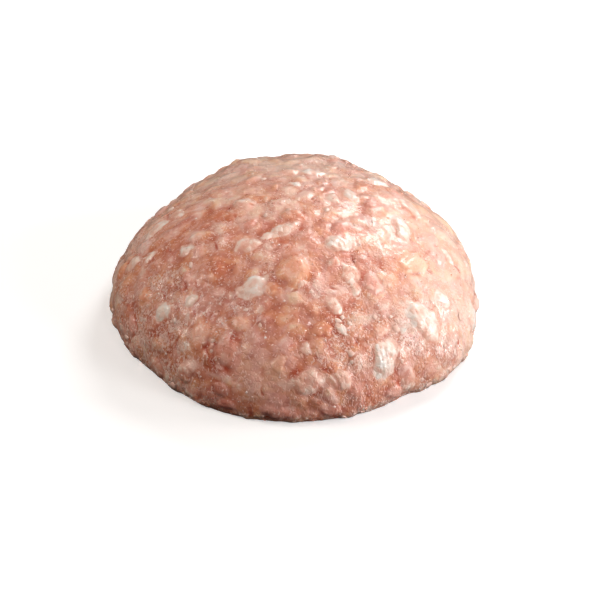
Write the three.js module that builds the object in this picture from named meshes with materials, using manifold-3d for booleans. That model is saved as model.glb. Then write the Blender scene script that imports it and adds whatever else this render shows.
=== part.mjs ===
// A mound of raw ground chicken: about 500 g of soft mince turned out in one rounded mass.
//
// Millimetres, +Z up. The origin is the middle of the flat underside, and -Y is the front.
// The mass is one solid: a dome whose skin is torn into crags by flakes of mince, with the
// larger scraps of fat and lean meat that stand out of it fused on.
//
// A place on the dome is a bearing and a rise, in degrees. The bearing is 0 at the front (-Y)
// and 90 at the right (+X). The rise is 0 at the widest girth and 90 at the crown.
import * as THREE from 'three';
import { mergeVertices } from 'three/addons/utils/BufferGeometryUtils.js';
import Module from 'manifold-3d';

// The whole mound
const BASE_RADIUS = 69;
const HEIGHT = 48;
const GIRTH_HEIGHT = 5; // the widest girth lies this far above the underside
const FOOT_TUCK = 1.6; // how far the foot is drawn in under the girth

// The skin, a sheet of rings round the crown
const SKIN_RINGS = 31;
const SECTORS = 6; // ring k has 6k corners, so all its triangles are alike in size
const CORNER_STRAY = 0.3; // how far a corner strays from its even place, as a share of the spacing

// The flakes of mince that the skin shows as crags, each an oval cap with a slant of its own
const FLAKE_COUNT = 430;
const FLAKE_REACH = [3.8, 7.2]; // half length
const FLAKE_SLIMNESS = [0.5, 0.9]; // width as a share of length
const FLAKE_HEIGHT = [0.7, 2.7];
const FLAKE_SLANT = 0.2; // steepest slope of a cap's base
const SKIN_LEVEL = -1.2; // how far the skin between the flakes lies off the plain dome

// Broad swells and hollows of the mass: place, half width in degrees, and height
const SWELLS = [
  { bearing: 58, rise: -4, spread: 15, height: 2.9 }, // the foot spreads at the front right
  { bearing: 37, rise: -8, spread: 7, height: -1.4 },
  { bearing: -50, rise: -4, spread: 21, height: -2.7 }, // and is drawn in at the front left
  { bearing: -122, rise: 29, spread: 25, height: -2.4 }, // the back left is hollow
  { bearing: -156, rise: 45, spread: 8, height: 1.6 }, // with a knob above it
  { bearing: 165, rise: 42, spread: 12, height: 1.2 },
  { bearing: 131, rise: 33, spread: 13, height: -1.3 },
  { bearing: 112, rise: 56, spread: 13, height: 1.1 },
  { bearing: -28, rise: 44, spread: 12, height: -0.9 },
  { bearing: 26, rise: 36, spread: 11, height: -0.9 },
  { bearing: 4, rise: 58, spread: 13, height: 0.9 },
  { bearing: -60, rise: 58, spread: 12, height: 0.9 },
  { bearing: -178, rise: 12, spread: 26, height: 1.8 },
];

// Scraps of fat that stand out most: place, length, width and turn from the level, in mm and degrees
const FAT_SCRAPS = [
  { bearing: -95, rise: 41, length: 10.5, width: 5.6, turn: 118 },
  { bearing: -65, rise: 52, length: 6.6, width: 4.6, turn: 92 },
  { bearing: -27, rise: 73, length: 5.6, width: 3.4, turn: 48 },
  { bearing: -11, rise: 77, length: 11.8, width: 5.2, turn: 44 },
  { bearing: -51, rise: 30, length: 7.2, width: 6.0, turn: 78 },
  { bearing: -20, rise: 53, length: 10.8, width: 7.6, turn: 36 },
  { bearing: -43, rise: 41, length: 6.0, width: 3.0, turn: 49 },
  { bearing: 163, rise: 68, length: 8.0, width: 4.6, turn: 4 },
  { bearing: 177, rise: 79, length: 5.8, width: 3.2, turn: 149 },
  { bearing: 114, rise: 71, length: 9.6, width: 5.2, turn: 10 },
  { bearing: 106, rise: 77, length: 6.6, width: 4.2, turn: 8 },
  { bearing: 128, rise: 55, length: 9.4, width: 7.0, turn: 48 },
  { bearing: 103, rise: 50, length: 9.8, width: 5.4, turn: 48 },
  { bearing: 82, rise: 54, length: 12.0, width: 5.8, turn: 22 },
  { bearing: 37, rise: 67, length: 8.2, width: 6.8, turn: 91 },
  { bearing: 83, rise: 34, length: 7.0, width: 4.4, turn: 47 },
  { bearing: 49, rise: 27, length: 16.0, width: 11.5, turn: 99 },
  { bearing: 62, rise: 28, length: 7.2, width: 5.6, turn: 63 },
  { bearing: 73, rise: 9, length: 12.5, width: 7.6, turn: 84 },
  { bearing: 30, rise: 21, length: 12.6, width: 9.2, turn: 74 },
  { bearing: 4, rise: 31, length: 4.2, width: 3.9, turn: 20 },
  { bearing: 5, rise: 55, length: 3.6, width: 2.6, turn: 11 },
  { bearing: 30, rise: 50, length: 7.8, width: 3.2, turn: 75 },
  { bearing: 18, rise: 37, length: 5.2, width: 3.0, turn: 125 },
  { bearing: 18, rise: 46, length: 8.0, width: 5.2, turn: 130 },
  { bearing: 5, rise: 17, length: 11.4, width: 8.6, turn: 19 },
  { bearing: -35, rise: 11, length: 11.6, width: 7.8, turn: 50 },
  { bearing: -82, rise: 30, length: 8.6, width: 5.4, turn: 79 },
  { bearing: -78, rise: 38, length: 6.6, width: 4.6, turn: 102 },
  { bearing: 31, rise: 56, length: 8.6, width: 5.4, turn: 87 },
];

// Lumps of lean meat and skin that stand out most, and the scraps that lie against the foot
const LEAN_LUMPS = [
  { bearing: 0, rise: 60, length: 13.0, width: 10.5, turn: 28 },
  { bearing: -56, rise: 74, length: 7.6, width: 5.0, turn: 67 },
  { bearing: -33, rise: 28, length: 13.4, width: 6.8, turn: 114 },
  { bearing: -22, rise: 26, length: 13.6, width: 9.6, turn: 105 },
  { bearing: 64, rise: 45, length: 14.5, width: 7.6, turn: 155 },
  { bearing: 11, rise: 38, length: 7.8, width: 5.0, turn: 6 },
  { bearing: -21, rise: 39, length: 8.0, width: 5.2, turn: 30 },
  { bearing: -20, rise: 1, length: 7.6, width: 5.0, turn: 8 },
  { bearing: -5, rise: 1, length: 10.4, width: 5.2, turn: 2 },
  { bearing: 12, rise: 1, length: 9.2, width: 5.0, turn: 176 },
  { bearing: 32, rise: 1, length: 7.0, width: 4.6, turn: 170 },
  { bearing: 84, rise: 2, length: 7.6, width: 5.0, turn: 100 },
];

// Further scraps, spread by rule over the rest of the mound
const SPREAD_COUNT = 60;
const SPREAD_LENGTH = [4.4, 9.5];
const SPREAD_SLIMNESS = [0.55, 0.9]; // width as a share of length
const CLEAR_ROOM = 0.75; // two scraps keep this share of their half lengths apart

// How unevenly things that are spread by rule lie: along the spiral from the crown, and in degrees round
const SPREAD_STRAY = 0.6;
const BEARING_STRAY = 14;

// A scrap's form
const SCRAP_THICKNESS = 0.62; // as a share of the width
const SCRAP_PROUD = 0.34; // the share of the thickness that stands out of the skin
const SCRAP_FLATS = 9; // torn faces that bound it
const FLAT_DISTANCE = [0.68, 1.0]; // of a flat from the scrap's middle, as a share of its half size
const ROUND_REACH = 1.15; // the ball that the flats cut down, on the same scale
const SHALLOWEST_CUT = 0.2; // a flat cuts only the directions that it faces by this cosine
const LARGE_SCRAP = 9; // a scrap this long or longer has 80 triangles, a smaller one 20
const LOWEST_SCRAP = 2.6; // the centre of a scrap at the foot is at least this high

// What each repeatable draw is for
const PURPOSE = {
  flakeShare: 1,
  flakeBearing: 2,
  flakeReach: 3,
  flakeSlimness: 4,
  flakeTurn: 5,
  flakeHeight: 6,
  flakeSlant: 7,
  cornerSideways: 10,
  cornerInwards: 11,
  flatTurn: 20,
  flatDistance: 21,
  scrapShare: 30,
  scrapBearing: 31,
  scrapLength: 32,
  scrapSlimness: 33,
  scrapTurn: 34,
};

const { degToRad, lerp, radToDeg } = THREE.MathUtils;
const GOLDEN_ANGLE = 180 * (3 - Math.sqrt(5));
const RISE_AT_FOOT = -radToDeg(Math.acos(1 - FOOT_TUCK / BASE_RADIUS));
const GIRTH_MIDDLE = new THREE.Vector3(0, 0, GIRTH_HEIGHT);
const PROFILE_STEPS = 240;

// A repeatable draw between 0 and 1: the same item and purpose always give the same value.
function draw(item, purpose) {
  const wave = Math.sin(item * 127.1 + purpose * 311.7 + 17.3) * 43758.5453;
  return wave - Math.floor(wave);
}

function drawIn([low, high], item, purpose) {
  return lerp(low, high, draw(item, purpose));
}

// Radius and height of the plain dome at a rise. Under the girth the foot is tucked in.
function profileAt(rise) {
  const angle = degToRad(rise);
  const radius = BASE_RADIUS * Math.cos(angle);
  const height = rise >= 0
    ? GIRTH_HEIGHT + (HEIGHT - GIRTH_HEIGHT) * Math.sin(angle)
    : GIRTH_HEIGHT * (1 - Math.sin(angle) / Math.sin(degToRad(RISE_AT_FOOT)));
  return { radius, height };
}

// Point, outward normal and the two directions along the skin at a place on the plain dome.
function placeOnDome(bearing, rise) {
  const turn = degToRad(bearing);
  const out = new THREE.Vector3(Math.sin(turn), -Math.cos(turn), 0);
  const across = new THREE.Vector3(Math.cos(turn), Math.sin(turn), 0);
  const { radius, height } = profileAt(rise);
  const point = out.clone().multiplyScalar(radius).setZ(height);
  const angle = degToRad(Math.max(rise, 0));
  const upward = new THREE.Vector3()
    .addScaledVector(out, -BASE_RADIUS * Math.sin(angle))
    .setZ((HEIGHT - GIRTH_HEIGHT) * Math.cos(angle))
    .normalize();
  const normal = new THREE.Vector3().crossVectors(across, upward).normalize();
  return { point, normal, across, upward };
}

// Shares of the profile's length and of the skin's area between the crown and each rise.
function measureProfile() {
  const table = [{ rise: 90, length: 0, area: 0 }];
  for (let step = 1; step <= PROFILE_STEPS; step++) {
    const rise = lerp(90, RISE_AT_FOOT, step / PROFILE_STEPS);
    const last = table[step - 1];
    const from = profileAt(last.rise);
    const to = profileAt(rise);
    const run = Math.hypot(to.radius - from.radius, to.height - from.height);
    table.push({
      rise,
      length: last.length + run,
      area: last.area + (run * (from.radius + to.radius)) / 2,
    });
  }
  return table;
}

const PROFILE = measureProfile();

// The rise at a share of the way from the crown to the foot, by length or by area.
function riseAtShare(share, measure) {
  const wanted = share * PROFILE[PROFILE_STEPS][measure];
  const after = Math.max(1, PROFILE.findIndex((row) => row[measure] >= wanted - 1e-9));
  const [low, high] = [PROFILE[after - 1], PROFILE[after]];
  return lerp(low.rise, high.rise, (wanted - low[measure]) / (high[measure] - low[measure]));
}

// Places spread over the skin on a spiral from the crown down, each a little astray.
function spreadPlaces(count, sharePurpose, bearingPurpose) {
  return Array.from({ length: count }, (_, item) => {
    const ahead = 0.5 + SPREAD_STRAY * (draw(item, sharePurpose) - 0.5);
    const aside = BEARING_STRAY * (draw(item, bearingPurpose) - 0.5);
    return {
      bearing: item * GOLDEN_ANGLE + aside,
      rise: riseAtShare((item + ahead) / count, 'area'),
    };
  });
}

// The unit direction along the skin at an angle from the level towards the crown.
function directionOnSkin({ across, upward }, turn) {
  const angle = degToRad(turn);
  return across.clone().multiplyScalar(Math.cos(angle)).addScaledVector(upward, Math.sin(angle));
}

function makeFlakes() {
  const places = spreadPlaces(FLAKE_COUNT, PURPOSE.flakeShare, PURPOSE.flakeBearing);
  return places.map(({ bearing, rise }, item) => {
    const place = placeOnDome(bearing, rise);
    const reach = drawIn(FLAKE_REACH, item, PURPOSE.flakeReach);
    const turn = 180 * draw(item, PURPOSE.flakeTurn);
    return {
      point: place.point,
      along: directionOnSkin(place, turn),
      aside: directionOnSkin(place, turn + 90),
      reach,
      breadth: reach * drawIn(FLAKE_SLIMNESS, item, PURPOSE.flakeSlimness),
      height: drawIn(FLAKE_HEIGHT, item, PURPOSE.flakeHeight),
      slant: FLAKE_SLANT * (2 * draw(item, PURPOSE.flakeSlant) - 1),
    };
  });
}

const FLAKES = makeFlakes();
const SWELL_PLACES = SWELLS.map((swell) => ({
  ...swell,
  direction: placeOnDome(swell.bearing, swell.rise).point.sub(GIRTH_MIDDLE).normalize(),
}));

// Height of the broad swells at a point of the dome.
function swellAt(point) {
  const direction = point.clone().sub(GIRTH_MIDDLE).normalize();
  return SWELL_PLACES.reduce((sum, swell) => {
    const away = radToDeg(direction.angleTo(swell.direction)) / swell.spread;
    return sum + swell.height * Math.exp(-away * away);
  }, 0);
}

// Height of the highest flake over a point.
function flakeAt(point) {
  return FLAKES.reduce((highest, flake) => {
    if (point.distanceTo(flake.point) > flake.reach) return highest;
    const away = point.clone().sub(flake.point);
    const aside = away.dot(flake.aside);
    const share = (away.dot(flake.along) / flake.reach) ** 2 + (aside / flake.breadth) ** 2;
    return share < 1 ? Math.max(highest, flake.height * (1 - share) + flake.slant * aside) : highest;
  }, 0);
}

// A point of the mound's own skin, its relief measured along the plain dome's normal.
function skinPoint(bearing, rise) {
  const { point, normal } = placeOnDome(bearing, rise);
  const relief = swellAt(point) + flakeAt(point) + SKIN_LEVEL;
  return point.addScaledVector(normal, relief);
}

// The dome as one closed sheet: rings of corners round the crown, and a flat underside.
function makeMass() {
  const corners = [skinPoint(0, 90)];
  const ringStart = [0];
  for (let ring = 1; ring <= SKIN_RINGS; ring++) {
    ringStart.push(corners.length);
    const stray = ring < SKIN_RINGS ? CORNER_STRAY : 0;
    for (let corner = 0; corner < SECTORS * ring; corner++) {
      const sideways = stray * (2 * draw(corners.length, PURPOSE.cornerSideways) - 1);
      const inwards = stray * (2 * draw(corners.length, PURPOSE.cornerInwards) - 1);
      const bearing = (360 * (corner + sideways)) / (SECTORS * ring);
      corners.push(skinPoint(bearing, riseAtShare((ring + inwards) / SKIN_RINGS, 'length')));
    }
  }
  const foot = ringStart[SKIN_RINGS];
  for (let corner = foot; corner < corners.length; corner++) corners[corner].z = 0;

  const faces = [];
  const cornerOf = (ring, sector, step) =>
    ring === 0 ? 0 : ringStart[ring] + ((sector * ring + step) % (SECTORS * ring));
  for (let ring = 0; ring < SKIN_RINGS; ring++) {
    for (let sector = 0; sector < SECTORS; sector++) {
      for (let step = 0; step <= ring; step++) {
        const inner = cornerOf(ring, sector, step);
        const outer = cornerOf(ring + 1, sector, step);
        const outerNext = cornerOf(ring + 1, sector, step + 1);
        faces.push(inner, outer, outerNext);
        if (step < ring) faces.push(inner, outerNext, cornerOf(ring, sector, step + 1));
      }
    }
  }

  const underside = corners.push(new THREE.Vector3(0, 0, 0)) - 1;
  const footCorners = SECTORS * SKIN_RINGS;
  for (let corner = 0; corner < footCorners; corner++) {
    faces.push(underside, foot + ((corner + 1) % footCorners), foot + corner);
  }
  return new THREE.BufferGeometry().setFromPoints(corners).setIndex(faces);
}

// A torn scrap about its own middle: a ball cut down by flats that face every way.
function makeScrapForm(length, item) {
  const ball = new THREE.IcosahedronGeometry(1, length < LARGE_SCRAP ? 0 : 1);
  ball.deleteAttribute('normal');
  ball.deleteAttribute('uv');
  const form = mergeVertices(ball);
  const flats = Array.from({ length: SCRAP_FLATS }, (_, flat) => {
    const level = 1 - (2 * (flat + 0.5)) / SCRAP_FLATS;
    const turn = degToRad(flat * GOLDEN_ANGLE + 360 * draw(item, PURPOSE.flatTurn));
    const reach = Math.sqrt(1 - level * level);
    return {
      facing: new THREE.Vector3(reach * Math.cos(turn), reach * Math.sin(turn), level),
      distance: drawIn(FLAT_DISTANCE, item * SCRAP_FLATS + flat, PURPOSE.flatDistance),
    };
  });
  const corners = form.getAttribute('position');
  for (let corner = 0; corner < corners.count; corner++) {
    const direction = new THREE.Vector3().fromBufferAttribute(corners, corner).normalize();
    const reach = flats.reduce((nearest, flat) => {
      const facing = direction.dot(flat.facing);
      return facing > SHALLOWEST_CUT ? Math.min(nearest, flat.distance / facing) : nearest;
    }, ROUND_REACH);
    corners.setXYZ(corner, ...direction.multiplyScalar(reach).toArray());
  }
  return form;
}

// A scrap set into the skin at its place, most of it sunk.
function makeScrap(scrap, item) {
  const place = placeOnDome(scrap.bearing, scrap.rise);
  const { normal } = place;
  const middle = skinPoint(scrap.bearing, scrap.rise);
  const thickness = scrap.width * SCRAP_THICKNESS;
  middle.addScaledVector(normal, thickness * (SCRAP_PROUD - 0.5));
  middle.z = Math.max(middle.z, LOWEST_SCRAP);
  const along = directionOnSkin(place, scrap.turn);
  const aside = new THREE.Vector3().crossVectors(normal, along);
  const placed = new THREE.Matrix4()
    .makeBasis(along, aside, normal)
    .scale(new THREE.Vector3(scrap.length / 2, scrap.width / 2, thickness / 2))
    .setPosition(middle);
  return makeScrapForm(scrap.length, item).applyMatrix4(placed);
}

// Scraps spread by rule, leaving out those that would lie on one already there.
function spreadScraps(placed) {
  const taken = placed.map((scrap) => ({
    point: placeOnDome(scrap.bearing, scrap.rise).point,
    reach: scrap.length / 2,
  }));
  const added = [];
  const places = spreadPlaces(SPREAD_COUNT, PURPOSE.scrapShare, PURPOSE.scrapBearing);
  places.forEach(({ bearing, rise }, item) => {
    const length = drawIn(SPREAD_LENGTH, item, PURPOSE.scrapLength);
    const place = { point: placeOnDome(bearing, rise).point, reach: length / 2 };
    const clear = taken.every(
      (other) => other.point.distanceTo(place.point) > CLEAR_ROOM * (other.reach + place.reach),
    );
    if (!clear) return;
    taken.push(place);
    added.push({
      bearing,
      rise,
      length,
      width: length * drawIn(SPREAD_SLIMNESS, item, PURPOSE.scrapSlimness),
      turn: 180 * draw(item, PURPOSE.scrapTurn),
    });
  });
  return added;
}

const wasm = await Module();
wasm.setup();

function toSolid(geometry) {
  const merged = mergeVertices(geometry);
  return new wasm.Manifold(
    new wasm.Mesh({
      numProp: 3,
      vertProperties: merged.getAttribute('position').array,
      triVerts: new Uint32Array(merged.index.array),
    }),
  );
}

function toGeometry(solid) {
  const { vertProperties, triVerts } = solid.getMesh();
  return new THREE.BufferGeometry()
    .setAttribute('position', new THREE.BufferAttribute(vertProperties, 3))
    .setIndex(new THREE.BufferAttribute(triVerts, 1));
}

// The mass with its scraps fused on, cut level at the underside and set over its own middle.
function makeMound() {
  const placed = [...FAT_SCRAPS, ...LEAN_LUMPS];
  const scraps = [...placed, ...spreadScraps(placed)];
  const solids = [makeMass(), ...scraps.map(makeScrap)].map(toSolid);
  const fused = wasm.Manifold.union(solids).trimByPlane([0, 0, 1], 0);
  const geometry = toGeometry(fused);
  geometry.computeBoundingBox();
  const middle = geometry.boundingBox.getCenter(new THREE.Vector3());
  geometry.translate(-middle.x, -middle.y, -geometry.boundingBox.min.z);
  geometry.computeVertexNormals();
  return geometry;
}

const rawChicken = new THREE.MeshStandardMaterial({
  name: 'raw_chicken_mince',
  color: 0xd89c86,
  roughness: 0.32,
  metalness: 0,
});

const mound = new THREE.Mesh(makeMound(), rawChicken);
mound.name = 'chicken_mince_mound';

const part = new THREE.Group();
part.name = 'raw_ground_chicken';
part.add(mound);

export default part;
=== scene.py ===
"""Raw ground chicken: a craggy mound of wet, pale salmon mince with scraps of cream fat.

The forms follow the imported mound. The dome, its swells, its flakes and its scraps are drawn by
the same rules as there, and are then torn finer. Forms are worked out in millimetres, with +Z up
and -Y the front, and turn into metres where a mesh is made.
"""
import itertools
import math
from types import SimpleNamespace

import bmesh
import bpy
import numpy as np
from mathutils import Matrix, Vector
from mathutils.kdtree import KDTree


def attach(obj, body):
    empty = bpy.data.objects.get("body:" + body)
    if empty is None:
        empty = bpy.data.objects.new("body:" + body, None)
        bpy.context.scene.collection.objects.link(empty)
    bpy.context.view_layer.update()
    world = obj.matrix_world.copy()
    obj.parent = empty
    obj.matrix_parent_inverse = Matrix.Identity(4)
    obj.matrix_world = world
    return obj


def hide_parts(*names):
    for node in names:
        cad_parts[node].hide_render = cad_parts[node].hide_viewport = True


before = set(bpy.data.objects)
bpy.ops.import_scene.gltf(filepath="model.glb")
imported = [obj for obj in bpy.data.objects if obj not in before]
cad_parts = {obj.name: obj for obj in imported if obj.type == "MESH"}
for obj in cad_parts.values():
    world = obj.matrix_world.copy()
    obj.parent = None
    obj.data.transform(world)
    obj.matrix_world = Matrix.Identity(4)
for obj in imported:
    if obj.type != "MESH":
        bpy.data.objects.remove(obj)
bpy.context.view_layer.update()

NODE = "chicken_mince_mound"
BODY = "root"
MM = 0.001
SEED = 5

# The dome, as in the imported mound
BASE_RADIUS = 69.0
HEIGHT = 48.0
GIRTH_HEIGHT = 5.0
FOOT_TUCK = 1.6
AXIS_OFFSET = (-0.67, -0.18)  # of the dome's axis from the middle of the mound's box
GOLDEN_ANGLE = 180.0 * (3.0 - math.sqrt(5.0))
FOOT_RISE = -math.degrees(math.acos(1.0 - FOOT_TUCK / BASE_RADIUS))
PROFILE_STEPS = 240
SPREAD_STRAY = 0.6
BEARING_STRAY = 14.0
SKIN_LEVEL = -1.2

# Broad swells and hollows: bearing, rise, half width in degrees, height
SWELLS = (
    (58, -4, 15, 2.9),
    (37, -8, 7, -1.4),
    (-50, -4, 21, -2.7),
    (-122, 29, 25, -2.4),
    (-156, 45, 8, 1.6),
    (165, 42, 12, 1.2),
    (131, 33, 13, -1.3),
    (112, 56, 13, 1.1),
    (-28, 44, 12, -0.9),
    (26, 36, 11, -0.9),
    (4, 58, 13, 0.9),
    (-60, 58, 12, 0.9),
    (-178, 12, 26, 1.8),
)

# Where the flesh is thick with fibre and specks, or free of them: bearing, rise, half width, share
# added. The specks are painted glints
SPECKLED = (
    (52, 14, 24, 0.75),
    (-52, 12, 26, 0.5),
    (14, 30, 15, 0.25),
    (-100, 20, 22, 0.25),
    (-6, 6, 15, -0.4),
    (45, 2, 9, -0.5),
    (160, 20, 40, 0.35),
)

# Where the flesh is painted paler and creamier, or deeper: bearing, rise, half width, share added.
# Partly the flesh's own colour, partly painted light and shade: some places lying in shade, such as a
# hollow, are lifted, and others are darkened
PALE_AND_PAINTED_LIGHT = (
    (95, 40, 34, 0.65),
    (62, 14, 24, 0.55),
    (-178, 62, 26, 0.85),
    (-122, 43, 27, 0.6),
    (-60, 48, 26, -0.2),
    (-60, 8, 16, -0.3),
    (-11, 20, 11, 0.9),
    (-28, 56, 13, -0.7),
    (22, 62, 10, 0.3),
    (24, 38, 8, -0.35),
    (39, 36, 8, 0.3),
    (10, 19, 6, -0.5),
    (-25, 3, 16, -0.6),
    (55, 62, 9, -0.15),
)

# Scraps of fat: bearing, rise, length, width, turn from the level, and how white the fat is
FAT_SCRAPS = (
    (-95, 41, 10.5, 5.6, 118, 0.9),
    (-65, 52, 6.6, 4.6, 92, 0.75),
    (-27, 73, 5.6, 3.4, 48, 0.7),
    (-11, 77, 11.8, 5.2, 44, 0.75),
    (-51, 30, 7.2, 6.0, 78, 0.9),
    (-20, 53, 10.8, 7.6, 36, 0.95),
    (-43, 41, 6.0, 3.0, 49, 0.8),
    (163, 68, 8.0, 4.6, 4, 0.9),
    (177, 79, 5.8, 3.2, 149, 0.8),
    (114, 71, 9.6, 5.2, 10, 0.7),
    (106, 77, 6.6, 4.2, 8, 0.8),
    (128, 55, 9.4, 7.0, 48, 1.0),
    (103, 50, 9.8, 5.4, 48, 0.7),
    (82, 54, 12.0, 5.8, 22, 0.9),
    (37, 67, 8.2, 6.8, 91, 1.0),
    (83, 34, 7.0, 4.4, 47, 0.7),
    (49, 27, 16.0, 11.5, 99, 0.95),
    (62, 28, 7.2, 5.6, 63, 0.85),
    (73, 9, 12.5, 7.6, 84, 0.9),
    (30, 21, 12.6, 9.2, 74, 1.0),
    (4, 31, 4.2, 3.9, 20, 0.6),
    (5, 55, 3.6, 2.6, 11, 0.8),
    (30, 50, 7.8, 3.2, 75, 0.6),
    (18, 37, 5.2, 3.0, 125, 0.8),
    (18, 46, 8.0, 5.2, 130, 0.35),
    (5, 17, 11.4, 8.6, 19, 0.4),
    (-35, 11, 11.6, 7.8, 50, 0.3),
    (-82, 30, 8.6, 5.4, 79, 0.4),
    (-78, 38, 6.6, 4.6, 102, 0.5),
    (31, 56, 8.6, 5.4, 87, 0.6),
)

# Where fat is smeared through the flesh: bearing, rise, half width in degrees, share
SMEARED = (
    (43, 31, 10, 1.1),
    (29, 21, 6, 0.9),
    (73, 12, 9, 0.7),
    (-52, 30, 5, 0.6),
    (60, 58, 9, 0.5),
)

# Lumps of lean meat: bearing, rise, length, width, turn, and how orange the meat is
LEAN_LUMPS = (
    (0, 60, 13.0, 10.5, 28, 0.9),
    (-56, 74, 7.6, 5.0, 67, 0.2),
    (-33, 28, 13.4, 6.8, 114, 0.6),
    (-22, 26, 13.6, 9.6, 105, 0.3),
    (64, 45, 14.5, 7.6, 155, 0.9),
    (11, 38, 7.8, 5.0, 6, 0.7),
    (-21, 39, 8.0, 5.2, 30, 1.0),
    (-20, 1, 7.6, 5.0, 8, 0.0),
    (-5, 1, 10.4, 5.2, 2, 0.1),
    (12, 1, 9.2, 5.0, 176, 0.0),
    (32, 1, 7.0, 4.6, 170, 0.1),
    (84, 2, 7.6, 5.0, 100, 0.2),
)

# Creases between flakes, sunk into the skin and darkened with painted shade: bearing, rise, length,
# width, turn
CREASES = (
    (-49, 43, 6.0, 1.9, 143),
    (-73, 48, 6.0, 1.5, 175),
    (-54, 61, 6.1, 1.1, 151),
    (-26, 47, 4.8, 1.1, 51),
    (0, 53, 3.8, 1.5, 24),
    (20, 52, 2.9, 1.5, 151),
    (22, 32, 3.4, 1.1, 99),
    (10, 22, 5.7, 1.5, 132),
    (13, 16, 6.7, 1.5, 124),
    (4, 35, 2.5, 1.1, 161),
    (-70, 72, 6.3, 1.1, 174),
    (38, 60, 4.5, 1.1, 72),
    (-9, 12, 4.9, 1.1, 109),
    (-29, 26, 7.6, 1.5, 119),
    (-26, 20, 7.2, 1.5, 127),
    (-41, 23, 8.2, 1.1, 88),
    (-21, 32, 5.9, 1.1, 84),
    (-56, 35, 6.2, 1.1, 153),
    (32, 21, 3.7, 1.1, 112),
)
CREASE_DEPTH = 0.45
CREASE_EDGE = (1.3, 0.3)  # the shares of the way out between which a crease deepens

# Further scraps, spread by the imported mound's rule
SPREAD_COUNT = 60
SPREAD_LENGTH = (4.4, 9.5)
SPREAD_SLIMNESS = (0.55, 0.9)
SPREAD_FAT_SHARE = 0.5
SPREAD_QUALITY = 0.75  # the most that fat spread by rule is white, or lean meat orange
CLEAR_ROOM = 0.75
SCRAP_FLATS = 9
FLAT_DISTANCE = (0.68, 1.0)
FLAT_SHARPNESS = 9.0
ROUND_REACH = 1.15
OUTLINE_REACH = 1.15
SCRAP_LIFT = 0.2
SCRAP_LIFT_BY_WIDTH = 0.1
PRESSING = 0.7

# The shares of the way out of a scrap between which its top falls off, the skin is pressed level,
# and its colour fades into the skin
SCRAP_EDGE = (1.05, 0.55)
PRESSED = (1.4, 0.9)
COLOUR_RUN = (1.3, 1.0)
BURIED_DRAW = 22
BURIED_RUN = 0.5  # how much sooner the colour fades on the buried side
PATCHY_RUN = 0.22  # and where the scrap is patchy

# Fat: how white it is at least, and by its quality, in patches and on its buried side
FAT_WHITENESS = 0.42
FAT_BY_QUALITY = 0.6
FAT_BY_PATCH = 0.4
FAT_BY_BURIAL = -0.4
PATCHY_LIFT = 0.2

# The ribs of the whitest fat: turn for each millimetre, fan, height, and the qualities they start at
RIB_TURN = 3.6
RIB_FAN = 0.4
RIB_HEIGHT = 0.16
RIBBED = (0.8, 1.0)

# Lean meat: how far it takes the skin's blush and tone to its own
LEAN_BLUSH = 0.7
LEAN_TONE = 0.6
LEAN_TONE_AIM = 0.55
SMOOTHING = 0.8  # how much of the skin's fibre a scrap hides

# The skin
SKIN_RINGS = 176
SECTORS = 6
NEIGHBOURS_SHARE = 0.6  # how far one round of averaging takes a point to its neighbours
COARSE_ROUNDS = 9
FAT_ROUNDS = 3
SURROUNDING_ROUNDS = 24
RELIEF_SOFTENING = 0.5

# Noises laid over one another: cell, strength and seed
FIBROUS_NOISE = ((14.0, 0.3, 31), (5.0, 0.3, 32))
FILM_NOISE = ((8.0, 0.8, 81), (2.6, 0.5, 82), (1.2, 0.3, 83))
PATCH_NOISE = ((3.0, 0.7, 57), (1.2, 0.5, 58))
RIB_NOISE = ((4.0, 1.4, 54),)
GRAIN_NOISE = ((0.9, 0.09, 41),)
PALE_NOISE = ((9.0, 0.2, 86),)

# Patches that a value keeps to: cell, seed, and the noises between which it fades in
CURL_PATCHES = (3.5, 44, (-0.1, 0.5))
EDGE_HIGHLIGHT_PATCHES = (3.2, 85, (-0.1, 0.6))
SMEAR_PATCHES = (2.4, 87, (-0.5, 0.5))
CREVICE_PATCHES = (5.0, 84, (-0.05, 0.5))

FIBROUS_BASE = 0.32
FIBROUS_RANGE = (0.1, 1.0)
FINE_HEIGHT = 0.3  # of the finest flakes where the flesh isn't fibrous
FINE_BY_FIBRE = 0.9
CURL_CELL = 2.6
CURL_SEED = 43
CURL_WIDTH = 0.22
CURL_HEIGHT = 0.16
FILM_RANGE = (-0.35, 0.75)
FILM_BY_FIBRE = 0.3
# How strongly the middle flakes' outlines get the painted edge highlight
MIDDLE_EDGE_HIGHLIGHT = 0.6
# How much lighter the flesh is painted where its flakes stand high, and darker where they sink: painted
# light and shade
PAINTED_LIGHT_BY_HEIGHT = 0.12
USUAL_HEIGHT = 1.5
CREVICE_RANGE = (0.02, 0.3)

# The coarse, middle and fine flakes' shares in the skin's tone and blush
TONE_DRAW = 91
TONE_SHARES = (0.5, 0.3, 0.2)
BLUSH_DRAW = 92
BLUSH_SHARES = (0.4, 0.35, 0.25)

# Flakes that are fat, coarse, middle and fine: draw, share that isn't fat, and how white
COARSE_FAT = (95, 0.9, 0.3)
MIDDLE_FAT = (93, 0.95, 0.6)
FINE_FAT = (94, 0.96, 0.5)


def draw(item, purpose):
    """A repeatable draw between 0 and 1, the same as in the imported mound."""
    wave = np.sin(np.asarray(item, float) * 127.1 + purpose * 311.7 + 17.3) * 43758.5453
    return wave - np.floor(wave)


def draw_in(limits, item, purpose):
    low, high = limits
    return low + (high - low) * draw(item, purpose)


def unit(vectors):
    return vectors / np.linalg.norm(vectors, axis=-1, keepdims=True)


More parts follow.
